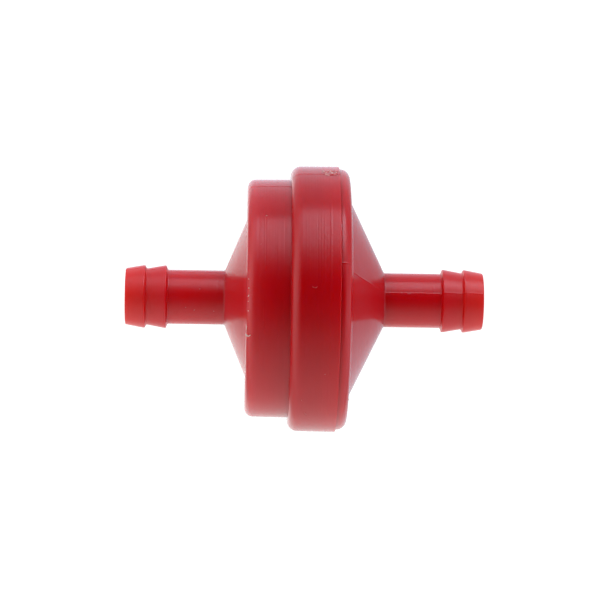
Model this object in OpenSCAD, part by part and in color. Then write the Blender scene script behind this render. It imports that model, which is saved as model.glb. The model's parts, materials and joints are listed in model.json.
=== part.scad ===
// In-line fuel filter for a small engine: two welded shells around a woven screen.
// All sizes are in millimetres. The flow axis is X, from the inlet tip at -X
// to the outlet tip at +X, and the origin is on the axis at mid-length.

/* [Overall] */
// Length from hose tip to hose tip
overall_length = 50; // [46:1:64]
// Outer diameter of the sleeve, the widest band
body_od = 37.2; // [30:0.1:46]
// Thickness of the shell walls
wall = 1.5; // [1.2:0.05:1.8]

/* [Hose stems] */
// Outer diameter of a stem behind its barbs
stem_od = 7.6; // [7:0.1:8.6]
// Diameter over the barb crests
crest_od = 8.75; // [8:0.05:10.5]
// Diameter at the tip and at the root between the barbs
tip_od = 7.85; // [7.6:0.05:8.6]
// Bore through a stem
stem_bore = 4.6; // [4.1:0.1:5.6]
// Length of the taper that leads up to each crest
barb_ramp = 2.5; // [1.6:0.05:3]
// Width of the land on a crest
crest_land = 0.25; // [0.2:0.05:0.6]
// Length of the steep back of a barb
barb_back = 0.2; // [0.1:0.05:0.4]

/* [Inlet shell] */
// Length of the cone between stem and face
inlet_cone_length = 3; // [2:0.1:4]
// Width of the flat ring face outside the cone
inlet_face_width = 5.7; // [4:0.1:6.8]
// Length of the narrow band behind the face
rim_length = 6; // [5:0.05:8]
// Step in radius from the narrow band up to the sleeve
rim_step = 1.93; // [1.6:0.01:2.4]
// Length of the sleeve, from the step to the weld seam
sleeve_length = 6.7; // [5.5:0.05:8]
// Round on the leading edge of the narrow band
rim_round = 1.2; // [0.5:0.1:1.8]
// Round on the leading edge of the sleeve
sleeve_round = 1.45; // [0.5:0.05:1.7]
// Growth in radius of each band along its length, for mould release
band_draft = 0.06; // [0:0.01:0.1]

/* [Outlet cap] */
// Length of the cone between face and stem
outlet_cone_length = 4.8; // [3:0.1:6]
// Width of the ring face outside the cone
outlet_face_width = 4.6; // [3.5:0.1:6]
// Length of the cap from the seam to where its cone starts
cap_rim_length = 1.8; // [1.6:0.05:2.4]
// Angle by which the ring face leans back from the cone to the rim
cap_face_angle = 5; // [0:0.5:6]
// How much smaller the cap's rim is than the sleeve, in radius
cap_setback = 0.35; // [0.1:0.05:0.5]
// Round on the outer edge of the cap
cap_round = 1.3; // [0.5:0.1:1.3]
// Wall of the spigot that enters the sleeve
spigot_wall = 1.6; // [1.2:0.1:2.2]
// Radial clearance between spigot and sleeve
spigot_clearance = 0.05; // [0.02:0.01:0.1]
// Bevel on the cap's edge that leaves the seam groove
seam_bevel = 0.12; // [0.05:0.01:0.2]

/* [Screen] */
// Thickness of the ring that holds the screen
ring_thickness = 2; // [1.4:0.1:2.6]
// Radial width of the ring
ring_width = 2.3; // [1.9:0.1:3]
// Radial clearance between ring and sleeve
ring_clearance = 0.1; // [0.05:0.01:0.3]
// Number of ribs behind the screen
rib_count = 6; // [4:1:10]
// Width of a rib
rib_width = 0.9; // [0.6:0.1:1.4]
// Diameter of the hub that joins the ribs
hub_od = 3.4; // [2.4:0.1:5]
// Pitch of the woven threads
mesh_pitch = 0.3; // [0.3:0.05:0.8]
// Thickness of a thread
thread = 0.14; // [0.1:0.01:0.2]
// How far the woven screen reaches into the ring
mesh_grip = 1; // [0.6:0.1:1.4]
// Depth of the screen's middle plane below the ring's inlet face
mesh_depth = 0.5; // [0.4:0.1:0.8]

/* [Hidden] */
$fn = 128;
shell_red = [0.69, 0.06, 0.09];
frame_white = [0.86, 0.85, 0.80];
mesh_white = [0.93, 0.93, 0.90];
stem_r = stem_od / 2;
crest_r = crest_od / 2;
tip_r = tip_od / 2;
bore_r = stem_bore / 2;
sleeve_r = body_od / 2;
rim_r = sleeve_r - rim_step;
cap_r = sleeve_r - cap_setback;
inlet_cone_r = rim_r - inlet_face_width;
outlet_cone_r = cap_r - outlet_face_width;
// Places along the axis
body_length = inlet_cone_length + rim_length + sleeve_length + cap_rim_length + outlet_cone_length;
stem_length = (overall_length - body_length) / 2;
inlet_tip_x = -overall_length / 2;
inlet_cone_x = inlet_tip_x + stem_length;
inlet_face_x = inlet_cone_x + inlet_cone_length;
step_x = inlet_face_x + rim_length;
seam_x = step_x + sleeve_length;
outlet_face_x = seam_x + cap_rim_length;
outlet_cone_x = outlet_face_x + outlet_cone_length;
outlet_tip_x = overall_length / 2;
// Inside of the shells, one wall in from the outside
socket_r = sleeve_r - band_draft - wall;
chamber_r = rim_r - band_draft - wall;
shoulder_x = step_x + wall;
inner_inlet_face_x = inlet_face_x + wall;
inner_outlet_face_x = outlet_face_x - wall;
inlet_cone_rise = (inlet_cone_r - stem_r) / inlet_cone_length;
outlet_cone_rise = (outlet_cone_r - stem_r) / outlet_cone_length;
// Distance along the axis that puts one wall between two parallel cones
inlet_cone_shift = wall * sqrt(1 + 1 / pow(inlet_cone_rise, 2));
outlet_cone_shift = wall * sqrt(1 + 1 / pow(outlet_cone_rise, 2));
// The screen's ring stands on the shoulder, and the spigot presses on it
ring_r = socket_r - ring_clearance;
ring_inner_r = ring_r - ring_width;
ring_end_x = shoulder_x + ring_thickness;
spigot_r = socket_r - spigot_clearance;
spigot_inner_r = spigot_r - spigot_wall;
mesh_x = shoulder_x + mesh_depth;
// The two layers of threads keep this much apart where they cross
layer_gap = 0.02;
mesh_thickness = 2 * thread + layer_gap;
mesh_r = ring_inner_r + mesh_grip;
// How far a cutting shape runs past the surface that it cuts
over = 1;

// Radius of the inlet's inner cone at a place along the axis
function inlet_inner_r(x) = stem_r + inlet_cone_rise * (x - inlet_cone_x - inlet_cone_shift);

// Place along the axis where the inlet's inner cone has a radius
function inlet_inner_x(r) = inlet_cone_x + inlet_cone_shift + (r - stem_r) / inlet_cone_rise;

// The same two for the outlet
function outlet_inner_r(x) = stem_r + outlet_cone_rise * (outlet_cone_x - outlet_cone_shift - x);
function outlet_inner_x(r) = outlet_cone_x - outlet_cone_shift - (r - stem_r) / outlet_cone_rise;

// Outline of one barb, as radius and distance from where its taper starts
function barb(foot_r) = [
    [tip_r, 0],
    [crest_r, barb_ramp],
    [crest_r, barb_ramp + crest_land],
    [foot_r, barb_ramp + crest_land + barb_back]
];

// Outline of a stem's two barbs from its tip, going inwards along dir
function barbs(tip_x, dir) = let (pitch = barb_ramp + crest_land + barb_back) concat(
    [for (p = barb(tip_r)) [p[0], tip_x + dir * p[1]]],
    [for (p = barb(stem_r)) if (p[1] > 0) [p[0], tip_x + dir * (pitch + p[1])]]
);

// Turns an outline of radius and place along X into a solid
module turned() {
    rotate([0, 90, 0])
        rotate_extrude()
            children();
}

// What a round takes off the corner between a band and a face, where dir is the way that the
// face looks along X, lean is the face's angle and face_x its place where it meets foot_r
module corner_round(band_r, face_x, round_r, dir, lean = 0, foot_r = 0) {
    centre_r = band_r - round_r;
    reach = round_r + over;
    drop = (centre_r - foot_r) * tan(lean) + round_r / cos(lean);
    translate([centre_r, face_x - dir * drop])
        difference() {
            polygon([
                [0, 0],
                [reach * sin(lean), dir * reach * cos(lean)],
                [reach, dir * reach],
                [reach, 0]
            ]);
            circle(round_r);
        }
}

module inlet_shell() {
    color(shell_red)
        turned()
            difference() {
                polygon(concat(
                    barbs(inlet_tip_x, 1),
                    [
                        [stem_r, inlet_cone_x],
                        [inlet_cone_r, inlet_face_x],
                        [rim_r - band_draft, inlet_face_x],
                        [rim_r - band_draft, inlet_face_x + rim_round],
                        [rim_r, step_x],
                        [sleeve_r - band_draft, step_x],
                        [sleeve_r - band_draft, step_x + sleeve_round],
                        [sleeve_r, seam_x],
                        [socket_r, seam_x],
                        [socket_r, shoulder_x],
                        [chamber_r, shoulder_x],
                        [chamber_r, inner_inlet_face_x],
                        [inlet_inner_r(inner_inlet_face_x), inner_inlet_face_x],
                        [bore_r, inlet_inner_x(bore_r)],
                        [bore_r, inlet_tip_x]
                    ]
                ));
                corner_round(rim_r - band_draft, inlet_face_x, rim_round, -1);
                corner_round(sleeve_r - band_draft, step_x, sleeve_round, -1);
            }
}

module outlet_cap() {
    color(shell_red)
        turned()
            difference() {
                polygon(concat(
                    barbs(outlet_tip_x, -1),
                    [
                        [stem_r, outlet_cone_x],
                        [outlet_cone_r, outlet_face_x],
                        [cap_r, outlet_face_x - outlet_face_width * tan(cap_face_angle)],
                        [cap_r, seam_x + seam_bevel],
                        [cap_r - seam_bevel, seam_x],
                        [spigot_r, seam_x],
                        [spigot_r, ring_end_x],
                        [spigot_inner_r, ring_end_x],
                        [spigot_inner_r, inner_outlet_face_x],
                        [outlet_inner_r(inner_outlet_face_x), inner_outlet_face_x],
                        [bore_r, outlet_inner_x(bore_r)],
                        [bore_r, outlet_tip_x]
                    ]
                ));
                corner_round(cap_r, outlet_face_x, cap_round, 1, cap_face_angle, outlet_cone_r);
            }
}

module screen_frame() {
    rib_x = mesh_x + mesh_thickness / 2;
    rib_depth = ring_end_x - rib_x;
    color(frame_white) {
        turned()
            difference() {
                translate([ring_inner_r, shoulder_x])
                    square([ring_width, ring_thickness]);
                translate([ring_inner_r - over, mesh_x - mesh_thickness / 2])
                    square([over + mesh_grip, mesh_thickness]);
            }
        translate([rib_x, 0, 0])
            rotate([0, 90, 0])
                cylinder(h = rib_depth, d = hub_od);
        for (i = [0 : rib_count - 1])
            rotate([360 * i / rib_count, 0, 0])
                translate([rib_x, -rib_width / 2, 0])
                    cube([rib_depth, rib_width, ring_inner_r + ring_width / 2]);
    }
}

// One straight thread that ends at the screen's round edge, with flats on its two faces
module mesh_thread(offset) {
    half = sqrt(pow(mesh_r, 2) - pow(abs(offset) + thread, 2));
    rotate([0, 0, 30])
        cylinder(h = 2 * half, r = thread / 2 / cos(30), center = true, $fn = 6);
}

module mesh_screen() {
    rows = floor((mesh_r - 2 * thread) / mesh_pitch);
    layer = (thread + layer_gap) / 2;
    color(mesh_white)
        for (i = [-rows : rows]) {
            translate([mesh_x - layer, i * mesh_pitch, 0])
                mesh_thread(i * mesh_pitch);
            translate([mesh_x + layer, 0, i * mesh_pitch])
                rotate([90, 0, 0])
                    mesh_thread(i * mesh_pitch);
        }
}

inlet_shell();
outlet_cap();
screen_frame();
mesh_screen();
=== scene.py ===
import json
import math
import bpy
from mathutils import Matrix, Vector, noise


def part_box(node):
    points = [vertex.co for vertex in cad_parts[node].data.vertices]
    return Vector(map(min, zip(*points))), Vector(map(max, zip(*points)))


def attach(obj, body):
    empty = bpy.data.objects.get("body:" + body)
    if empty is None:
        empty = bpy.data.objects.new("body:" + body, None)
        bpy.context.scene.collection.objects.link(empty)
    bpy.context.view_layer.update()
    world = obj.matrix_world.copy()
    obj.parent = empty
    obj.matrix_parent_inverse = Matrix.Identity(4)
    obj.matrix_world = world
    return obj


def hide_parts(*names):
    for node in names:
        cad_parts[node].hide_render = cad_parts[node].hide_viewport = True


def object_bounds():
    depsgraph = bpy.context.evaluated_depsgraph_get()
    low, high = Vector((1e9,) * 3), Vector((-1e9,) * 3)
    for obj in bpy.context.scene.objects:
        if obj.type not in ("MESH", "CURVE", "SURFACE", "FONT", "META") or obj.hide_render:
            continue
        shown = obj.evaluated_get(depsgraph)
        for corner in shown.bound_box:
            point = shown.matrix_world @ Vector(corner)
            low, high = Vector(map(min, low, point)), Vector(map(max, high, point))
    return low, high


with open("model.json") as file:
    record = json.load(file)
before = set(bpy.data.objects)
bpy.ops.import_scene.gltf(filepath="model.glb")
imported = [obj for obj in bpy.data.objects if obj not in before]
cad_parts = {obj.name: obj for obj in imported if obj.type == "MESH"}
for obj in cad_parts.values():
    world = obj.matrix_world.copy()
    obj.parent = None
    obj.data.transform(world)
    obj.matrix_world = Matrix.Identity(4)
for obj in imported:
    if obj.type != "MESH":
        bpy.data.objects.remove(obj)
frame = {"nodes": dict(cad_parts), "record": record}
cadLow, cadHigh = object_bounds()
mounts = {mount["name"]: mount for mount in frame["record"]["mounts"]}
shellLow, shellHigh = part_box("inlet_shell")
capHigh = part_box("outlet_cap")[1]
ringLow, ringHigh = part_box("screen_frame")
print("frame loaded, box", cadLow, cadHigh)


def mm(value):
    return value / 1000


def linear(hexColour):
    channels = [int(hexColour[i:i + 2], 16) / 255 for i in (1, 3, 5)]
    return [c / 12.92 if c <= 0.04045 else ((c + 0.055) / 1.055) ** 2.4 for c in channels] + [1]


def addNode(tree, kind, settings=None, inputs=None):  # inputs: a value, or the socket that feeds it
    node = tree.nodes.new(kind)
    for name, value in (settings or {}).items():
        setattr(node, name, value)
    for name, value in (inputs or {}).items():
        if isinstance(value, bpy.types.NodeSocket):
            tree.links.new(value, node.inputs[name])
        else:
            node.inputs[name].default_value = value
    return node


def newMaterial(name):
    material = bpy.data.materials.new(name)
    material.use_nodes = True
    material.node_tree.nodes.clear()
    return material, material.node_tree


def finishMaterial(tree, shader):
    addNode(tree, "ShaderNodeOutputMaterial", inputs={"Surface": shader.outputs[0]})


nylon = {
    "red": "#ce0a17",  # pigment of the shells
    "deepRed": "#c60814",  # where the pigment lies thicker
    "paintedGlowRed": "#e40c1a",  # painted glow: lighter red where the plastic is thin, standing in for the light that passes through it
    "paintedSheenRed": "#d62c33",  # painted sheen: paler red standing in for the light that the sharp edges catch and scatter
    "paintedTipGlowRed": "#ee281b",  # painted glow: the stems' ends painted warmer, for light passing through them
    "meltedAndGlowRed": "#dd0a14",  # the weld, melted clear, its brighter red also a painted glow of light passing through it
    "reach": 25,  # mm either side of the middle that the two lists below cover
    # share of painted glow (lighter red) at a place along X in mm: stems, narrow rim and both sides of the
    # weld
    "light": [(-25, 1.0), (-17, 1.0), (-13, 0.4), (-8.6, 0.15), (-8.1, 0.85), (-6.5, 0.4), (-3.5, 0.0),
              (1.5, 0.0), (4.2, 0.45), (5.0, 0.65), (6.4, 0.3), (11, 0.3), (13, 0.85), (25, 0.85)],
    # share of painted sheen (paler red) at a place along X in mm: the left cone, the band's rim and the right
    # cone's root
    "pale": [(-11, 0.3), (-8.6, 0.3), (-8.1, 1.0), (-7.2, 0.9), (-6.0, 0.2), (-5.0, 0.0),
             (6.1, 0.0), (6.4, 0.8), (7.4, 0.7), (9.5, 0.0)],
    "warmFrom": 19,  # mm from the middle where the painted tip glow starts, and it is warmest at the tips
    "warmShare": 0.7,
    "meltFrom": 0.35,  # mm from the seam where the melted red with its painted glow starts
    "meltFull": 0.05,
    "roughness": 0.13,
    "roughnessFall": 0.05,  # between the turning marks it is this much smoother
    "roughnessRise": 0.07,  # and in them this much rougher
    "barbRoughness": 0.3,  # the barbs come off a bead-blasted insert
    "barbFrom": 18.9,  # mm from the middle
    "barbFull": 19.2,
    "ior": 1.53,
    "toolMark": 0.3,  # mm between the mould's turning marks, as coarse as they need to be to show
    "toolMarkDepth": 0.024,  # mm
    "grain": 0.25,  # mm, fine orange peel
    "grainDepth": 0.004,  # mm
    "drift": 6,  # mm over which the pigment drifts
    "scatter": 2.2,  # mm that red light travels inside
    "scatterShares": (1.0, 0.06, 0.03),  # green and blue are stopped at once
}


def ringCoordinate(tree, position):  # runs along the profile of a turned part, so marks become rings
    split = addNode(tree, "ShaderNodeSeparateXYZ", inputs={0: position})
    across = addNode(tree, "ShaderNodeCombineXYZ", inputs={1: split.outputs["Y"], 2: split.outputs["Z"]})
    radius = addNode(tree, "ShaderNodeVectorMath", {"operation": "LENGTH"}, {0: across.outputs[0]})
    along = addNode(tree, "ShaderNodeMath", {"operation": "ADD"},
                    {0: split.outputs["X"], 1: radius.outputs["Value"]})
    return split.outputs["X"], along.outputs[0]


def alongPart(tree, x, stops):  # a share that changes along X, from (mm, share) pairs
    reach = nylon["reach"]
    scaled = addNode(tree, "ShaderNodeMapRange",
                     inputs={"Value": x, "From Min": mm(-reach), "From Max": mm(reach)})
    ramp = addNode(tree, "ShaderNodeValToRGB", inputs={0: scaled.outputs[0]})
    elements = ramp.color_ramp.elements
    for i, (place, share) in enumerate(stops):
        element = elements[i] if i < 2 else elements.new(1.0)
        element.position = (place + reach) / (2 * reach)
        element.color = (share, share, share, 1)
    return ramp.outputs[0]


def mouldedRedNylon():
    # injection-moulded nylon 6 in opaque red: glossy, with rings copied from the turned mould
    material, tree = newMaterial("mouldedRedNylon")
    position = addNode(tree, "ShaderNodeTexCoord").outputs["Object"]
    x, along = ringCoordinate(tree, position)
    fine = addNode(tree, "ShaderNodeMath", {"operation": "MULTIPLY"},
                   {0: along, 1: 1 / mm(nylon["toolMark"])})
    marks = addNode(tree, "ShaderNodeTexNoise", {"noise_dimensions": "1D"},
                    {"W": fine.outputs[0], "Scale": 1.0, "Detail": 3.0, "Roughness": 0.65})
    broad = addNode(tree, "ShaderNodeTexNoise",
                    inputs={"Vector": position, "Scale": 1 / mm(nylon["drift"]), "Detail": 2.0})
    peel = addNode(tree, "ShaderNodeTexNoise",
                   inputs={"Vector": position, "Scale": 1 / mm(nylon["grain"]), "Detail": 3.0})
    fromMiddle = addNode(tree, "ShaderNodeMath", {"operation": "ABSOLUTE"}, {0: x})
    nearTip = addNode(tree, "ShaderNodeMapRange", {"interpolation_type": "SMOOTHSTEP"},
                      {"Value": fromMiddle.outputs[0], "From Min": mm(nylon["warmFrom"]),
                       "From Max": mm(nylon["reach"])})
    onBarb = addNode(tree, "ShaderNodeMapRange", {"interpolation_type": "SMOOTHSTEP"},
                     {"Value": fromMiddle.outputs[0], "From Min": mm(nylon["barbFrom"]),
                      "From Max": mm(nylon["barbFull"])})
    pigment = addNode(tree, "ShaderNodeMix", {"data_type": "RGBA"},
                      {0: broad.outputs["Fac"], 6: linear(nylon["deepRed"]), 7: linear(nylon["red"])})
    # painted glow: lighter red along the part for light scattered through its thin places
    light = alongPart(tree, x, nylon["light"])
    # painted sheen: paler red on the rounded edges for the highlight the side light puts there
    pale = alongPart(tree, x, nylon["pale"])
    body = addNode(tree, "ShaderNodeMix", {"data_type": "RGBA"},
                   {0: light, 6: pigment.outputs[2], 7: linear(nylon["paintedGlowRed"])})
    sheened = addNode(tree, "ShaderNodeMix", {"data_type": "RGBA"},
                    {0: pale, 6: body.outputs[2], 7: linear(nylon["paintedSheenRed"])})
    fromSeam = addNode(tree, "ShaderNodeMath", {"operation": "SUBTRACT"}, {0: x, 1: shellHigh.x})
    seamGap = addNode(tree, "ShaderNodeMath", {"operation": "ABSOLUTE"}, {0: fromSeam.outputs[0]})
    atSeam = addNode(tree, "ShaderNodeMapRange", {"interpolation_type": "SMOOTHSTEP"},
                     {"Value": seamGap.outputs[0], "From Min": mm(nylon["meltFrom"]),
                      "From Max": mm(nylon["meltFull"])})
    tipGlow = addNode(tree, "ShaderNodeMath", {"operation": "MULTIPLY"},
                      {0: nearTip.outputs[0], 1: nylon["warmShare"]})
    # the real weld line, brightened by a painted glow
    welded = addNode(tree, "ShaderNodeMix", {"data_type": "RGBA"},
                     {0: atSeam.outputs[0], 6: sheened.outputs[2], 7: linear(nylon["meltedAndGlowRed"])})
    # painted glow: warmer, lighter red at the stems' tips
    colour = addNode(tree, "ShaderNodeMix", {"data_type": "RGBA"},
                     {0: tipGlow.outputs[0], 6: welded.outputs[2], 7: linear(nylon["paintedTipGlowRed"])})
    gloss = addNode(tree, "ShaderNodeMapRange",
                    inputs={"Value": marks.outputs["Fac"], "From Min": 0.3, "From Max": 0.7,
                            "To Min": nylon["roughness"] - nylon["roughnessFall"],
                            "To Max": nylon["roughness"] + nylon["roughnessRise"]})
    blasted = addNode(tree, "ShaderNodeMix", {"data_type": "FLOAT"},
                      {0: onBarb.outputs[0], 2: gloss.outputs[0], 3: nylon["barbRoughness"]})
    peelBump = addNode(tree, "ShaderNodeBump",
                       inputs={"Height": peel.outputs["Fac"], "Distance": mm(nylon["grainDepth"]),
                               "Strength": 0.5})
    ringBump = addNode(tree, "ShaderNodeBump",
                       inputs={"Height": marks.outputs["Fac"], "Distance": mm(nylon["toolMarkDepth"]),
                               "Strength": 1.0, "Normal": peelBump.outputs[0]})
    shader = addNode(tree, "ShaderNodeBsdfPrincipled", inputs={
        "Base Color": colour.outputs[2], "Roughness": blasted.outputs[0], "IOR": nylon["ior"],
        "Normal": ringBump.outputs[0],
        "Subsurface Weight": 1.0, "Subsurface Radius": nylon["scatterShares"],
        "Subsurface Scale": mm(nylon["scatter"])})
    finishMaterial(tree, shader)
    return material


torn = {
    "red": "#d41c22",
    "white": "#f2c8bc",
    "crumb": 0.35,  # mm
    "crumbDepth": 0.02,  # mm
    "whiteFrom": 0.45,  # height of a crumb, from 0 to 1, where the whitening starts
    "whiteFull": 0.62,
    "roughness": 0.5,
    "scatter": 0.3,  # mm
}


def tornRedNylon():
    # red nylon torn off at the gate: matt, and whitened where it stretched
    material, tree = newMaterial("tornRedNylon")
    position = addNode(tree, "ShaderNodeTexCoord").outputs["Object"]
    crumbs = addNode(tree, "ShaderNodeTexNoise",
                     inputs={"Vector": position, "Scale": 1 / mm(torn["crumb"]), "Detail": 4.0,
                             "Roughness": 0.7})
    whitening = addNode(tree, "ShaderNodeMapRange",
                        inputs={"Value": crumbs.outputs["Fac"], "From Min": torn["whiteFrom"],
                                "From Max": torn["whiteFull"]})
    colour = addNode(tree, "ShaderNodeMix", {"data_type": "RGBA"},
                     {0: whitening.outputs[0], 6: linear(torn["red"]), 7: linear(torn["white"])})
    bump = addNode(tree, "ShaderNodeBump",
                   inputs={"Height": crumbs.outputs["Fac"], "Distance": mm(torn["crumbDepth"]),
                           "Strength": 0.8})
    shader = addNode(tree, "ShaderNodeBsdfPrincipled", inputs={
        "Base Color": colour.outputs[2], "Roughness": torn["roughness"], "IOR": nylon["ior"],
        "Normal": bump.outputs[0],
        "Subsurface Weight": 0.2, "Subsurface Radius": (1.0, 0.3, 0.2),
        "Subsurface Scale": mm(torn["scatter"])})
    finishMaterial(tree, shader)
    return material


stretched = {
    "streak": 0.2,  # mm between paler and redder spots
    "roughness": 0.55,
    "nickColours": ("#eebcae", "#fff2e8"),  # a deep nick is nearly white
    "scratchColours": ("#c8383c", "#d87470"),  # a scratch only pales the red
}


def stretchedRedNylon(name, dull, bright):
    # red nylon pulled out in flakes by a knock: it whitens where it stretches
    material, tree = newMaterial(name)
    position = addNode(tree, "ShaderNodeTexCoord").outputs["Object"]
    pull = addNode(tree, "ShaderNodeTexNoise",
                   inputs={"Vector": position, "Scale": 1 / mm(stretched["streak"]), "Detail": 3.0})
    colour = addNode(tree, "ShaderNodeMix", {"data_type": "RGBA"},
                     {0: pull.outputs["Fac"], 6: linear(dull), 7: linear(bright)})
    shader = addNode(tree, "ShaderNodeBsdfPrincipled", inputs={
        "Base Color": colour.outputs[2], "Roughness": stretched["roughness"], "IOR": nylon["ior"]})
    finishMaterial(tree, shader)
    return material


natural = {
    "dull": "#ded8c6",
    "bright": "#ece7da",
    "cloud": 3,  # mm over which the milkiness changes
    "grain": 0.15,  # mm, mould texture
    "grainDepth": 0.006,  # mm
    "roughness": 0.45,
    "scatter": 1.2,  # mm
}


def mouldedNaturalNylon():
    # unpigmented moulded nylon: milky, satin, a little yellow
    material, tree = newMaterial("mouldedNaturalNylon")
    position = addNode(tree, "ShaderNodeTexCoord").outputs["Object"]
    cloud = addNode(tree, "ShaderNodeTexNoise",
                    inputs={"Vector": position, "Scale": 1 / mm(natural["cloud"]), "Detail": 3.0})
    grain = addNode(tree, "ShaderNodeTexNoise",
                    inputs={"Vector": position, "Scale": 1 / mm(natural["grain"]), "Detail": 2.0})
    colour = addNode(tree, "ShaderNodeMix", {"data_type": "RGBA"},
                     {0: cloud.outputs["Fac"], 6: linear(natural["dull"]), 7: linear(natural["bright"])})
    bump = addNode(tree, "ShaderNodeBump",
                   inputs={"Height": grain.outputs["Fac"], "Distance": mm(natural["grainDepth"]),
                           "Strength": 0.5})
    shader = addNode(tree, "ShaderNodeBsdfPrincipled", inputs={
        "Base Color": colour.outputs[2], "Roughness": natural["roughness"], "IOR": nylon["ior"],
        "Normal": bump.outputs[0],
        "Subsurface Weight": 0.4, "Subsurface Radius": (1.0, 0.9, 0.7),
        "Subsurface Scale": mm(natural["scatter"])})
    finishMaterial(tree, shader)
    return material


drawn = {
    "dull": "#dcdccf",
    "bright": "#f1f0ea",
    "drift": 2,  # mm over which the clearness changes
    "roughness": 0.3,
    "scatter": 0.1,  # mm
}


def drawnNylonThread():
    # drawn nylon monofilament: clear-white and smooth, each thread a bright line
    material, tree = newMaterial("drawnNylonThread")
    position = addNode(tree, "ShaderNodeTexCoord").outputs["Object"]
    drift = addNode(tree, "ShaderNodeTexNoise",
                    inputs={"Vector": position, "Scale": 1 / mm(drawn["drift"]), "Detail": 2.0})
    colour = addNode(tree, "ShaderNodeMix", {"data_type": "RGBA"},
                     {0: drift.outputs["Fac"], 6: linear(drawn["dull"]), 7: linear(drawn["bright"])})
    shader = addNode(tree, "ShaderNodeBsdfPrincipled", inputs={
        "Base Color": colour.outputs[2], "Roughness": drawn["roughness"], "IOR": nylon["ior"],
        "Subsurface Weight": 0.3, "Subsurface Radius": (1.0, 1.0, 0.9),
        "Subsurface Scale": mm(drawn["scatter"])})
    finishMaterial(tree, shader)
    return material


redNylon = mouldedRedNylon()
tornNylon = tornRedNylon()
paleNylon = stretchedRedNylon("stretchedRedNylon", *stretched["nickColours"])
scratchedNylon = stretchedRedNylon("scratchedRedNylon", *stretched["scratchColours"])
naturalNylon = mouldedNaturalNylon()
threadNylon = drawnNylonThread()
print("materials made")


def deselectAll():
    if bpy.context.object and bpy.context.object.mode == "EDIT":
        bpy.ops.object.mode_set(mode="OBJECT")
    bpy.ops.object.select_all(action="DESELECT")


turned = {
    "arcSteps": 7,  # edges over a quarter round
    "leastTurn": 0.01,  # radians; a straighter corner gets no round
    "guard": 0.04,  # mm from a round to an extra edge that keeps the flat flat
    "guardShare": 0.3,  # of what is left of a short flat
    "halfTurnSteps": 120,  # edges over half a turn, between the parting lines
    "partingRings": [0.12, 0.3, 0.7, 1.6],  # degrees either side of a parting line that get an edge
    "smoothAngle": 32,  # degrees
    "mergeGap": 0.0005,  # mm, for doubles in the outline
    "closeGap": 0.002,  # mm, for the last turn meeting the first
}


def roundedOutline(corners):  # corners: x, r and blend radius in mm; the outline closes
    points = []
    count = len(corners)
    for i, (x, r, blend) in enumerate(corners):
        here = Vector((x, r))
        before = Vector(corners[i - 1][:2]) - here
        after = Vector(corners[(i + 1) % count][:2]) - here
        turn = math.pi - before.angle(after)
        if blend == 0 or turn < turned["leastTurn"]:
            points.append(here)
            continue
        cut = blend * math.tan(turn / 2)
        start = here + before.normalized() * cut
        end = here + after.normalized() * cut
        inwards = (before.normalized() + after.normalized()).normalized()
        centre = here + inwards * blend / math.cos(turn / 2)
        steps = max(2, round(turned["arcSteps"] * turn / (math.pi / 2)) + 1)
        guard = min(turned["guard"], (before.length - cut) * turned["guardShare"])
        points.append(start + before.normalized() * guard)
        for k in range(steps + 1):
            angle = turn * k / steps
            spoke = (start - centre) * math.sin(turn - angle) + (end - centre) * math.sin(angle)
            points.append(centre + spoke / math.sin(turn))
        guard = min(turned["guard"], (after.length - cut) * turned["guardShare"])
        points.append(end + after.normalized() * guard)
    return points


def turnOutline(name, outline, partingAngle):  # partingAngle: degrees above the front
    aim = Vector((0, -math.cos(math.radians(partingAngle)), math.sin(math.radians(partingAngle))))
    places = [Vector((mm(p.x), 0, 0)) + aim * mm(p.y) for p in outline]
    deselectAll()
    bpy.ops.mesh.primitive_plane_add(size=mm(1), location=(0, 0, 0))
    piece = bpy.context.object
    piece.name = name
    bpy.ops.object.mode_set(mode="EDIT")
    bpy.ops.mesh.select_all(action="SELECT")
    bpy.ops.mesh.merge(type="CENTER")
    bpy.ops.transform.translate(value=places[0])
    for here, there in zip(places, places[1:] + places[:1]):
        bpy.ops.mesh.extrude_vertices_move(TRANSFORM_OT_translate={"value": there - here})
    bpy.ops.mesh.select_all(action="SELECT")
    bpy.ops.mesh.remove_doubles(threshold=mm(turned["mergeGap"]))
    rings = turned["partingRings"]
    fine = [b - a for a, b in zip([0] + rings, rings)]
    half = [(step, 1) for step in fine] + [(180 - 2 * rings[-1], turned["halfTurnSteps"])]
    half += [(step, 1) for step in reversed(fine)]
    for angle, steps in half + half:
        bpy.ops.mesh.spin(steps=steps, angle=math.radians(angle), center=(0, 0, 0), axis=(1, 0, 0))
    bpy.ops.mesh.select_all(action="SELECT")
    bpy.ops.mesh.remove_doubles(threshold=mm(turned["closeGap"]))
    bpy.ops.mesh.normals_make_consistent(inside=False)
    bpy.ops.object.mode_set(mode="OBJECT")
    bpy.ops.object.shade_smooth_by_angle(angle=math.radians(turned["smoothAngle"]))
    return piece


def raisePartingLine(piece, partingAngle, outside, flash):  # flash: height, half width and step in mm
    aim = math.radians(partingAngle)
    for vertex in piece.data.vertices:
        x, y, z = vertex.co
        if not outside(x * 1000, math.hypot(y, z) * 1000):
            continue
        radial = Vector((0, y, z)).normalized()
        turn = math.atan2(z, -y) - aim
        off = abs(math.sin(turn)) * math.hypot(y, z) * 1000
        ridge = flash["height"] * math.exp(-(off / flash["halfWidth"]) ** 2)
        step = flash["step"] / 2 * (1 if math.sin(turn) > 0 else -1)
        vertex.co += radial * mm(ridge + step)


def dress(piece, material, slotName, *nodes):
    piece.data.materials.clear()
    piece.data.materials.append(material)
    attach(piece, "root")
    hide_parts(*nodes)


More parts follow.
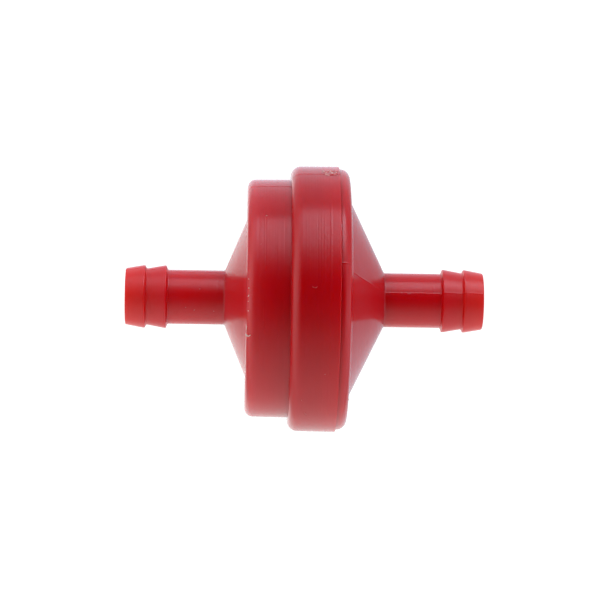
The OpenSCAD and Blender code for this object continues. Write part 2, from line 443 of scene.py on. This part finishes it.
stem = {  # the hose stems, shared by both shells, in mm
    "radius": 3.8,
    "tipRadius": 3.925,
    "ramp": 2.5,  # length of a barb's slope
    "land": mounts["inlet_barb"]["dims"]["length_mm"],  # flat on its crest
    "back": 0.2,  # length of its steep side
    "crestRadius": mounts["inlet_barb"]["dims"]["r_mm"],
    "bore": mounts["inlet_bore"]["dims"]["r_mm"],
    "tipRound": 0.22,
    "boreRound": 0.12,
    "crestRound": 0.1,
    "rootRound": 0.2,
    "footRound": 0.25,  # where the stem meets its cone
    "throatRound": 0.15,  # where the bore opens into the cone
    "skin": 0.3,  # this far under the surface still counts as outside
}


def barbCorners(tip, way):  # from the tip inwards; way is the sign along X
    pitch = stem["ramp"] + stem["land"] + stem["back"]
    corners = [(tip, stem["bore"], stem["boreRound"]), (tip, stem["tipRadius"], stem["tipRound"])]
    for turn, foot in ((0, stem["tipRadius"]), (1, stem["radius"])):
        start = turn * pitch + stem["ramp"]
        corners.append((tip + way * start, stem["crestRadius"], stem["crestRound"]))
        corners.append((tip + way * (start + stem["land"]), stem["crestRadius"], stem["crestRound"]))
        corners.append((tip + way * (turn + 1) * pitch, foot, stem["rootRound"]))
    return corners


shell = {  # the inlet shell, in mm and degrees
    "coneLength": 3.0,
    "faceX": -8.15,  # the flat face round the cone
    "faceWidth": 5.7,
    "stepX": -2.15,  # where the narrow band ends and the sleeve starts
    "rimStep": 1.93,  # how much lower than the sleeve the narrow band is
    "faceRound": 0.3,  # where the cone meets the face
    "rimRound": 1.2,
    "stepRound": 0.04,
    "sleeveRound": 1.45,
    "socketRound": 0.1,
    "chamberRound": 0.6,
    "innerConeRound": 0.3,
    "draft": 0.06,
    "wall": 1.5,
    "coneSkin": 0.5,  # this far under the surface still counts as outside
    "bandSkin": 0.7,
    "partingAngle": 68.2,  # above the front
    "flash": {"height": 0.015, "halfWidth": 0.06, "step": 0.035},
    "seamLipRound": 0.09,
}


def makeInletShell():
    tip = shellLow.x * 1000
    seam = shellHigh.x * 1000
    sleeveRadius = shellHigh.z * 1000
    rimRadius = sleeveRadius - shell["rimStep"]
    coneRadius = rimRadius - shell["faceWidth"]
    coneX = shell["faceX"] - shell["coneLength"]
    socket = sleeveRadius - shell["draft"] - shell["wall"]
    chamber = rimRadius - shell["draft"] - shell["wall"]
    shoulder = ringLow.x * 1000
    rise = (coneRadius - stem["radius"]) / shell["coneLength"]
    shift = shell["wall"] * math.sqrt(1 + 1 / rise ** 2)
    innerFace = shell["faceX"] + shell["wall"]
    outside = barbCorners(tip, 1) + [
        (coneX, stem["radius"], stem["footRound"]),
        (shell["faceX"], coneRadius, shell["faceRound"]),
        (shell["faceX"], rimRadius - shell["draft"], shell["rimRound"]),
        (shell["stepX"], rimRadius, shell["stepRound"]),
        (shell["stepX"], sleeveRadius - shell["draft"], shell["sleeveRound"]),
        (seam, sleeveRadius, shell["seamLipRound"]),
    ]
    inside = [
        (seam, socket, shell["socketRound"]),
        (shoulder, socket, shell["socketRound"]),
        (shoulder, chamber, shell["socketRound"]),
        (innerFace, chamber, shell["chamberRound"]),
        (innerFace, stem["radius"] + rise * (innerFace - coneX - shift), shell["innerConeRound"]),
        (coneX + shift + (stem["bore"] - stem["radius"]) / rise, stem["bore"], stem["throatRound"]),
    ]
    piece = turnOutline("inletShell", roundedOutline(outside + inside), shell["partingAngle"])

    def isOutside(x, r):
        if x < coneX:
            return r > stem["radius"] - stem["skin"]
        if x < shell["faceX"] + 0.01:  # the face's own points count too
            return r > stem["radius"] + rise * (x - coneX) - shell["coneSkin"]
        return r > (rimRadius if x < shell["stepX"] else sleeveRadius) - shell["bandSkin"]

    raisePartingLine(piece, shell["partingAngle"], isOutside, shell["flash"])
    dress(piece, redNylon, "shell", "inlet_shell")
    return piece


inletShell = makeInletShell()
print("inlet shell", len(inletShell.data.polygons))


cap = {  # the outlet cap, in mm and degrees
    "coneLength": 4.8,
    "faceX": 6.35,  # the nearly flat face round the cone
    "faceWidth": 4.6,
    "faceAngle": 5,  # how far it leans towards the seam
    "faceRound": 0.2,  # where the cone meets the face
    "rimRound": 1.3,
    "seamRound": 0.05,
    "seamBevel": 0.04,
    "spigotRound": 0.1,
    "spigotClearance": 0.05,
    "spigotWall": 1.6,
    "chamberRound": 0.4,
    "innerConeRound": 0.3,
    "faceSkin": 0.45,  # this far behind the face still counts as outside
    "lipWidth": 0.05,  # the parting line stops this far from the seam
    "partingAngle": 15.6,  # above the front
    "flash": {"height": 0.035, "halfWidth": 0.06, "step": 0.008},
}


def makeOutletCap():
    tip = capHigh.x * 1000
    seam = shellHigh.x * 1000
    rimRadius = capHigh.z * 1000
    coneRadius = rimRadius - cap["faceWidth"]
    coneX = cap["faceX"] + cap["coneLength"]
    spigot = shellHigh.z * 1000 - shell["draft"] - shell["wall"] - cap["spigotClearance"]
    spigotEnd = ringHigh.x * 1000
    rise = (coneRadius - stem["radius"]) / cap["coneLength"]
    shift = shell["wall"] * math.sqrt(1 + 1 / rise ** 2)
    innerFace = cap["faceX"] - shell["wall"]
    faceEdge = cap["faceX"] - cap["faceWidth"] * math.tan(math.radians(cap["faceAngle"]))
    outside = barbCorners(tip, -1) + [
        (coneX, stem["radius"], stem["footRound"]),
        (cap["faceX"], coneRadius, cap["faceRound"]),
        (faceEdge, rimRadius, cap["rimRound"]),
        (seam + cap["seamBevel"], rimRadius, cap["seamRound"]),
        (seam, rimRadius - cap["seamBevel"], 0),
    ]
    inside = [
        (seam, spigot, 0),
        (spigotEnd, spigot, cap["spigotRound"]),
        (spigotEnd, spigot - cap["spigotWall"], cap["spigotRound"]),
        (innerFace, spigot - cap["spigotWall"], cap["chamberRound"]),
        (innerFace, stem["radius"] + rise * (coneX - shift - innerFace), cap["innerConeRound"]),
        (coneX - shift - (stem["bore"] - stem["radius"]) / rise, stem["bore"], stem["throatRound"]),
    ]
    piece = turnOutline("outletCap", roundedOutline(outside + inside), cap["partingAngle"])

    def isOutside(x, r):
        if x > coneX:
            return r > stem["radius"] - stem["skin"]
        if x > faceEdge:
            onFace = x > cap["faceX"] - cap["faceSkin"] and r > coneRadius
            return onFace or r > stem["radius"] + rise * (coneX - x) - shell["coneSkin"]
        return x > seam + cap["lipWidth"] and r > rimRadius - shell["bandSkin"]

    raisePartingLine(piece, cap["partingAngle"], isOutside, cap["flash"])
    dress(piece, redNylon, "shell", "outlet_cap")
    return piece


outletCap = makeOutletCap()
print("outlet cap", len(outletCap.data.polygons))


gateScar = {  # where the mould's gate was torn off, in mm
    "middleX": 3.25,  # beside the weld
    "angle": 69.7,  # degrees above the front
    "length": 2.2,
    "width": 1.8,
    "height": 0.1,
    "levelShare": 0.1,  # of that height, everywhere
    "lipShare": 0.9,  # of it, in a lip round the scar
    "crumbShare": 0.9,  # of it, in crumbs
    "depth": 0.25,  # how far it reaches under the surface
    "sunk": 0.05,  # how far its border lies under the surface
    "crumb": 0.5,
    "ragged": 0.35,  # share by which its outline wanders
    "waves": 1.7,  # how often it wanders
    "borderSlope": 4,  # how steeply it sinks to its border
    "lipPlace": 0.72,  # share of the way to its border
    "lipWidth": 0.16,
    "seamGap": 0.03,  # it stops this far short of the seam
    "cells": 26,
    "smoothAngle": 50,
}


def onBand(x, angle, radius):  # a point of a turned surface, all in mm and degrees above the front
    turn = math.radians(angle)
    return Vector((mm(x), -mm(radius) * math.cos(turn), mm(radius) * math.sin(turn)))


def makeGateScar():
    radius = shellHigh.z * 1000
    deselectAll()
    cells = gateScar["cells"]
    bpy.ops.mesh.primitive_grid_add(x_subdivisions=cells, y_subdivisions=cells, size=1)
    piece = bpy.context.object
    piece.name = "gateScar"
    bpy.ops.object.mode_set(mode="EDIT")
    bpy.ops.mesh.select_all(action="SELECT")
    bpy.ops.mesh.extrude_region_move(TRANSFORM_OT_translate={"value": (0, 0, 1)})
    bpy.ops.object.mode_set(mode="OBJECT")
    for vertex in piece.data.vertices:
        u, v, top = vertex.co
        edge = 2 * max(abs(u), abs(v))
        spot = Vector((u * gateScar["length"], v * gateScar["width"], 0)) / gateScar["crumb"]
        wander = noise.noise(Vector((u, v, 0)).normalized() * gateScar["waves"] + Vector((3, 1, 0)))
        ragged = 1 + gateScar["ragged"] * wander
        x = gateScar["middleX"] + u * gateScar["length"] * ragged
        x = min(x, shellHigh.x * 1000 - gateScar["seamGap"])
        angle = gateScar["angle"] + math.degrees(v * gateScar["width"] * ragged / radius)
        crumbs = noise.fractal(spot, 1.0, 2.0, 3)
        lip = math.exp(-((edge - gateScar["lipPlace"]) / gateScar["lipWidth"]) ** 2)
        share = gateScar["levelShare"] + gateScar["lipShare"] * lip + gateScar["crumbShare"] * crumbs
        raised = gateScar["height"] * share + gateScar["sunk"]
        height = raised * min(1, (1 - edge) * gateScar["borderSlope"]) - gateScar["sunk"]
        vertex.co = onBand(x, angle, radius + (height if top > 0.5 else -gateScar["depth"]))
    bpy.ops.object.mode_set(mode="EDIT")
    bpy.ops.mesh.select_all(action="SELECT")
    bpy.ops.mesh.normals_make_consistent(inside=False)
    bpy.ops.object.mode_set(mode="OBJECT")
    bpy.ops.object.shade_smooth_by_angle(angle=math.radians(gateScar["smoothAngle"]))
    dress(piece, tornNylon, "shell", "inlet_shell")


makeGateScar()


nicks = {
    "tilt": 0.7,  # mm that a flake stands up, for each mm of its width
    "ragged": 0.5,  # share by which its outline wanders
    "waves": 3,  # how often it wanders
    # each flake: x, degrees above the front, radius under it, length, width, degrees from the flow axis
    "handlingNicks": [
        (-7.87, 9.0, 16.4, 0.12, 0.09, 60), (-7.85, 4.7, 16.4, 0.17, 0.1, 70),
        (-7.86, 1.1, 16.4, 0.3, 0.1, 62), (-7.9, -1.5, 16.38, 0.12, 0.08, 80),
        (-7.87, -6.0, 16.4, 0.14, 0.09, 40), (-8.02, -18.0, 16.25, 0.42, 0.24, -50),
        (-7.68, -17.9, 16.5, 0.5, 0.15, 38), (-8.06, -14.5, 16.2, 0.7, 0.06, 86),
        (-5.55, 42.5, 16.64, 0.14, 0.08, 10), (6.1, -52.5, 17.2, 0.22, 0.12, 60),
    ],
    "scratches": [
        (0.78, 4.9, 18.58, 0.42, 0.06, -30), (1.18, 4.85, 18.58, 0.42, 0.06, 28),
        (0.15, -57.5, 18.57, 0.9, 0.05, -62), (0.8, -62.5, 18.57, 0.3, 0.05, -50),
        (-6.3, 26, 16.63, 0.3, 0.05, 35), (2.6, -33, 18.58, 0.16, 0.07, 20),
        (-0.4, -48, 18.57, 0.4, 0.04, -70), (13.6, 16.5, 3.8, 0.55, 0.07, -14),
        (14.6, 14.6, 3.8, 0.7, 0.07, 4), (-14.6, 18, 3.79, 0.2, 0.08, 0),
        (-16.5, -22, 3.79, 0.14, 0.08, 30), (-15.3, -28, 3.79, 0.28, 0.07, 60),
        (-12.6, -30, 3.79, 0.16, 0.08, 15), (22.9, 38, 4.05, 0.16, 0.08, 20),
    ],
}


def makeNicks(name, material):
    flakes = []
    for x, angle, radius, length, width, turn in nicks[name]:
        deselectAll()
        bpy.ops.mesh.primitive_ico_sphere_add(subdivisions=2, radius=0.5)
        flake = bpy.context.object
        across = Vector((0, math.sin(math.radians(angle)), math.cos(math.radians(angle))))
        along = Vector((math.cos(math.radians(turn)), 0, 0)) + across * math.sin(math.radians(turn))
        out = Vector((0, -math.cos(math.radians(angle)), math.sin(math.radians(angle))))
        side = along.cross(out)
        middle = onBand(x, angle, radius)
        for vertex in flake.data.vertices:
            a, b, c = vertex.co
            wander = noise.noise(Vector((a, b, c)) * nicks["waves"] + Vector((x, angle, turn)))
            rag = 1 + nicks["ragged"] * wander
            place = along * a * length * rag + side * b * width * rag + out * c * width * nicks["tilt"]
            vertex.co = middle + place * mm(1)
        bpy.ops.object.shade_smooth()
        flakes.append(flake)
    deselectAll()
    for flake in flakes:
        flake.select_set(True)
    bpy.context.view_layer.objects.active = flakes[0]
    bpy.ops.object.join()
    piece = bpy.context.object
    piece.name = name
    dress(piece, material, "shell", "inlet_shell", "outlet_cap")


makeNicks("handlingNicks", paleNylon)
makeNicks("scratches", scratchedNylon)
print("marks made")


ringNode = frame["nodes"]["screen_frame"]  # its shape is already right, so only its material changes
ringNode.data.materials.clear()
ringNode.data.materials.append(naturalNylon)


weave = {  # the screen, in mm, coarser than a real fuel screen
    "pitch": 0.3,  # from thread to thread
    "thread": 0.14,  # thickness
    "gap": 0.02,  # between crossing threads
    "radius": 15.64,  # the screen's edge, in the ring's groove
    "sides": 5,
    "mergeGap": 0.001,
}


def makeThreads(name, quarterTurn, phase, middleX):  # phase +1 starts in front, -1 behind
    pitch = mm(weave["pitch"])
    amplitude = phase * mm(weave["thread"] + weave["gap"]) / 2
    half = math.floor(weave["radius"] / weave["pitch"])
    deselectAll()
    bpy.ops.mesh.primitive_circle_add(vertices=weave["sides"], radius=mm(weave["thread"]) / 2,
                                      location=(middleX + amplitude, 0, 0))
    piece = bpy.context.object
    piece.name = name
    bpy.ops.object.mode_set(mode="EDIT")
    bpy.ops.mesh.select_all(action="SELECT")
    for sideways in (-amplitude, -amplitude, amplitude, amplitude):  # one wave, over one thread and under one
        bpy.ops.mesh.extrude_region_move(TRANSFORM_OT_translate={"value": (sideways, 0, pitch / 2)})
    bpy.ops.object.mode_set(mode="OBJECT")
    bpy.ops.object.transform_apply(location=True, rotation=False, scale=False)

    def repeat(count, step):
        array = piece.modifiers.new("array", "ARRAY")
        array.use_relative_offset = False
        array.use_constant_offset = True
        array.constant_offset_displace = step
        array.count = count
        array.use_merge_vertices = True
        array.merge_threshold = mm(weave["mergeGap"])
        bpy.ops.object.modifier_apply(modifier=array.name)

    waves = half + 1
    repeat(waves, (0, 0, 2 * pitch))
    bpy.ops.object.mode_set(mode="EDIT")
    bpy.ops.mesh.select_all(action="SELECT")
    bpy.ops.transform.translate(value=(0, 0, -(waves // 2) * 2 * pitch))
    bpy.ops.mesh.duplicate_move(TRANSFORM_OT_translate={"value": (0, pitch, pitch)})
    bpy.ops.object.mode_set(mode="OBJECT")
    repeat(waves, (0, 2 * pitch, 0))
    bpy.ops.object.mode_set(mode="EDIT")
    bpy.ops.mesh.select_all(action="SELECT")
    bpy.ops.transform.translate(value=(0, -(waves // 2) * 2 * pitch, 0))
    bpy.ops.mesh.select_mode(type="VERT")
    bpy.ops.mesh.select_all(action="DESELECT")
    bpy.ops.object.mode_set(mode="OBJECT")
    for vertex in piece.data.vertices:
        lane = round(vertex.co.y / pitch) * pitch
        vertex.select = math.hypot(lane, vertex.co.z) > mm(weave["radius"] - weave["thread"] / 2)
    bpy.ops.object.mode_set(mode="EDIT")
    bpy.ops.mesh.delete(type="VERT")
    bpy.ops.mesh.select_all(action="SELECT")
    bpy.ops.mesh.fill_holes(sides=weave["sides"])
    bpy.ops.mesh.select_all(action="SELECT")
    bpy.ops.mesh.normals_make_consistent(inside=False)
    bpy.ops.object.mode_set(mode="OBJECT")
    if quarterTurn:
        for vertex in piece.data.vertices:
            x, y, z = vertex.co
            vertex.co = (x, -z, y)
    bpy.ops.object.shade_smooth()
    dress(piece, threadNylon, "mesh", "mesh_screen")
    return piece


screenLow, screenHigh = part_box("mesh_screen")
screenMiddle = (screenLow.x + screenHigh.x) / 2
warp = makeThreads("warpThreads", False, 1, screenMiddle)
weft = makeThreads("weftThreads", True, -1, screenMiddle)
print("screen", len(warp.data.polygons), len(weft.data.polygons))


view = {
    "distance": 395,  # mm, from the camera to the flow axis
    "yaw": 1.354,  # degrees, the inlet end a little nearer
    "roll": 0.89,  # degrees
    "aside": 0.556,  # mm that the part sits right of the view's middle
    "lift": 0.155,  # mm that it sits above the middle
    "lens": 168.98,  # mm
    "sensor": 36,  # mm
    "nearest": 10,  # mm
    "farthest": 20000,
}


def makeCamera():
    yaw = math.radians(view["yaw"])
    roll = math.radians(view["roll"])
    level = Vector((math.cos(yaw), -math.sin(yaw), 0))
    ahead = Vector((math.sin(yaw), math.cos(yaw), 0))
    right = level * math.cos(roll) + Vector((0, 0, math.sin(roll)))
    up = Vector((0, 0, math.cos(roll))) - level * math.sin(roll)
    place = -ahead * mm(view["distance"]) - level * mm(view["aside"]) - up * mm(view["lift"])
    turn = Matrix((right, up, -ahead)).transposed()
    camera = bpy.data.objects.new("camera", bpy.data.cameras.new("camera"))
    camera.data.lens = view["lens"]
    camera.data.sensor_width = view["sensor"]
    camera.data.clip_start = mm(view["nearest"])
    camera.data.clip_end = mm(view["farthest"])
    camera.matrix_world = Matrix.Translation(place) @ turn.to_4x4()
    bpy.context.scene.collection.objects.link(camera)
    bpy.context.scene.camera = camera


# the studio round the part; each list is brightness against degrees away from the camera's side
studio = {
    "above": [(0, 0.01), (50, 0.02), (84, 0.1), (90, 0.46), (97, 0.58), (112, 0.67), (125, 0.85), (180, 1.1)],
    "softbox": [(20, 0), (33, 0.15), (44, 0.58), (53, 1.12), (63, 1.43), (76, 1.55), (82, 1.15), (88, 0.25),
                (92, 0)],
    "below": [(0, 0.03), (18, 0.11), (36, 0.36), (56, 0.68), (80, 0.95), (130, 1.05), (180, 1.0)],
    "left": [(0, 0.02), (17, 0.03), (24, 0.09), (36, 0.52), (60, 1.0), (96, 1.15), (103, 0.4), (137, 0.4),
             (141, 1.3), (180, 1.15)],
    "right": [(0, 0.03), (30, 0.04), (42, 0.3), (56, 0.68), (108, 0.72), (118, 0.3), (130, 0.3), (133, 0.62),
              (180, 0.75)],
    # how bright the softbox is, against the direction's X, from left -1 to right 1
    "overhead": [(-1, 0.8), (-0.4, 0.85), (-0.2, 0.7), (-0.02, 0.6), (0.01, 1.0), (0.03, 0.95), (0.05, 1.25),
                 (0.1, 1.35), (0.18, 2.3), (0.32, 2.6), (0.42, 1.5), (0.6, 1.1), (1, 0.7)],
    "overheadTint": (0.98, 1.0, 1.16),  # a cool flash
    "rightTint": (0.97, 1.0, 1.14),
    "lowSide": 1.25,  # the right side is this much brighter low down
    "lowSideReach": 0.25,  # of the direction's Z, over which it falls off
    "full": 3,  # the ramps hold brightness as a share of this
    "backdrop": 1.15,  # past white, so that it stays clean
}


def makeStudio():
    world = bpy.data.worlds.new("studio")
    bpy.context.scene.world = world
    world.use_nodes = True
    tree = world.node_tree
    tree.nodes.clear()
    direction = addNode(tree, "ShaderNodeTexCoord").outputs["Generated"]
    split = addNode(tree, "ShaderNodeSeparateXYZ", inputs={0: direction})
    front = addNode(tree, "ShaderNodeMath", {"operation": "MULTIPLY"}, {0: split.outputs["Y"], 1: -1.0})
    away = addNode(tree, "ShaderNodeMath", {"operation": "ARCCOSINE"}, {0: front.outputs[0]})
    part = addNode(tree, "ShaderNodeMath", {"operation": "DIVIDE"}, {0: away.outputs[0], 1: math.pi})
    # share is 1 for directions straight up or down, and 0 for those straight sideways
    side = addNode(tree, "ShaderNodeMath", {"operation": "MULTIPLY"},
                   {0: split.outputs["X"], 1: split.outputs["X"]})
    tall = addNode(tree, "ShaderNodeMath", {"operation": "MULTIPLY"},
                   {0: split.outputs["Z"], 1: split.outputs["Z"]})
    both = addNode(tree, "ShaderNodeMath", {"operation": "ADD"}, {0: side.outputs[0], 1: tall.outputs[0]})
    share = addNode(tree, "ShaderNodeMath", {"operation": "DIVIDE"}, {0: tall.outputs[0], 1: both.outputs[0]})

    def ramp(source, stops, low, high, tint=(1, 1, 1)):
        node = addNode(tree, "ShaderNodeValToRGB", inputs={0: source})
        band = node.color_ramp
        while len(band.elements) < len(stops):
            band.elements.new(0.5)
        for element, (place, level) in zip(band.elements, stops):
            element.position = (place - low) / (high - low)
        for element, (place, level) in zip(band.elements, stops):
            element.color = [level / studio["full"] * channel for channel in tint] + [1]
        return node.outputs[0]

    def choose(amount, low, high):
        return addNode(tree, "ShaderNodeMix", {"data_type": "RGBA"}, {0: amount, 6: low, 7: high}).outputs[2]

    isUp = addNode(tree, "ShaderNodeMath", {"operation": "GREATER_THAN"}, {0: split.outputs["Z"], 1: 0.0})
    isRight = addNode(tree, "ShaderNodeMath", {"operation": "GREATER_THAN"}, {0: split.outputs["X"], 1: 0.0})
    across = addNode(tree, "ShaderNodeMapRange", inputs={"Value": split.outputs["X"], "From Min": -1.0})
    softbox = addNode(tree, "ShaderNodeVectorMath", {"operation": "MULTIPLY"},
                      {0: ramp(part.outputs[0], studio["softbox"], 0, 180),
                       1: ramp(across.outputs[0], studio["overhead"], -1, 1, studio["overheadTint"])})
    softbox = addNode(tree, "ShaderNodeVectorMath", {"operation": "SCALE"},
                      {0: softbox.outputs[0], 3: studio["full"]})
    above = addNode(tree, "ShaderNodeVectorMath", {"operation": "ADD"},
                    {0: ramp(part.outputs[0], studio["above"], 0, 180, studio["overheadTint"]),
                     1: softbox.outputs[0]})
    upright = choose(isUp.outputs[0], ramp(part.outputs[0], studio["below"], 0, 180), above.outputs[0])
    low = addNode(tree, "ShaderNodeMapRange",
                  inputs={"Value": split.outputs["Z"], "From Min": -studio["lowSideReach"],
                          "From Max": studio["lowSideReach"],
                          "To Min": studio["lowSide"], "To Max": 2 - studio["lowSide"]})
    right = addNode(tree, "ShaderNodeVectorMath", {"operation": "SCALE"},
                    {0: ramp(part.outputs[0], studio["right"], 0, 180, studio["rightTint"]),
                     3: low.outputs[0]})
    sideways = choose(isRight.outputs[0], ramp(part.outputs[0], studio["left"], 0, 180), right.outputs[0])
    light = choose(share.outputs[0], sideways, upright)
    lit = addNode(tree, "ShaderNodeBackground", inputs={"Color": light, "Strength": studio["full"]})
    seen = addNode(tree, "ShaderNodeBackground",
                   inputs={"Color": (1, 1, 1, 1), "Strength": studio["backdrop"]})
    rays = addNode(tree, "ShaderNodeLightPath")
    mixed = addNode(tree, "ShaderNodeMixShader",
                    inputs={0: rays.outputs["Is Camera Ray"], 1: lit.outputs[0], 2: seen.outputs[0]})
    addNode(tree, "ShaderNodeOutputWorld", inputs={"Surface": mixed.outputs[0]})
    bpy.context.scene.view_settings.view_transform = "Standard"
    bpy.context.scene.view_settings.look = "None"


paper = {
    "size": 4000,  # mm
    "drop": 45,  # mm under the part
}


def makeFloor():
    deselectAll()
    bpy.ops.mesh.primitive_plane_add(size=mm(paper["size"]), location=(0, 0, cadLow.z - mm(paper["drop"])))
    floor = bpy.context.object
    floor.name = "floor"
    material, tree = newMaterial("whitePaper")
    shader = addNode(tree, "ShaderNodeEmission",
                     inputs={"Color": (1, 1, 1, 1), "Strength": studio["backdrop"]})
    finishMaterial(tree, shader)
    floor.data.materials.append(material)
    floor.visible_diffuse = False
    floor.visible_glossy = False
    floor.visible_shadow = False


makeCamera()
makeStudio()
makeFloor()
print("studio ready")
